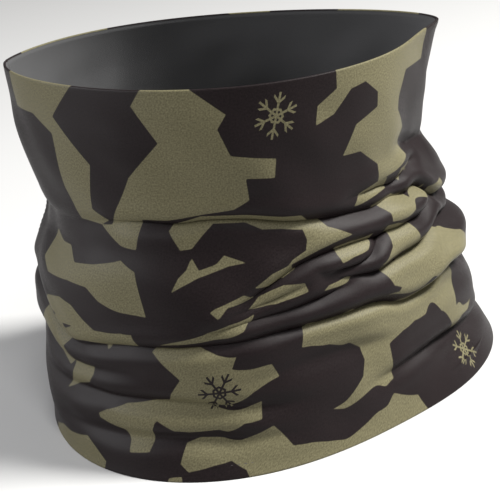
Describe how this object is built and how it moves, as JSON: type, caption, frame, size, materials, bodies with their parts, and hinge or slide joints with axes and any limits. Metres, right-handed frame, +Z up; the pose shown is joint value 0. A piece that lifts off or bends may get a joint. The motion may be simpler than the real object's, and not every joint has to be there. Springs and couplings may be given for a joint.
{
  "type": "neck gaiter",
  "caption": "Two-ply stretch cloth tube worn round the neck, camouflage print outside, dark lining inside, gathered lower half and smooth upper half.",
  "frame": {"origin": "middle of the bottom edge, on the surface the gaiter stands on", "axes": "+Z up through the tube, -Y towards the wearer's front (the side in view), +X to the right of that view, side seam at the left end"},
  "size_m": [0.1921, 0.1864, 0.145],
  "materials": {
    "printed_jersey": "satin printed stretch jersey, olive and blackish aubergine camouflage",
    "lining_jersey": "matt brushed dark grey jersey",
    "sewing_thread": "spun polyester thread, blackish",
    "label_satin": "blank woven satin ribbon"
  },
  "bodies": {
    "lower": {"shell_lower": "printed_jersey", "lining_lower": "lining_jersey", "bottom_edge_thread": "sewing_thread", "shell_seam_lower": "sewing_thread", "lining_seam_lower": "sewing_thread"},
    "upper": {"shell_upper": "printed_jersey", "lining_upper": "lining_jersey", "top_edge_thread": "sewing_thread", "shell_seam_upper": "sewing_thread", "lining_seam_upper": "sewing_thread"},
    "label": {"care_label": "label_satin"}
  },
  "joints": [
    {"name": "pull_up", "type": "slide", "parent": "lower", "child": "upper", "axis": [0, 0, 1], "range_m": [0, 0.08]},
    {"name": "label_flap", "type": "hinge", "parent": "upper", "child": "label", "pos_m": [-0.08058, 0.02117, 0.08], "axis": [0, 0, 1], "range_deg": [-65, 65]}
  ]
}
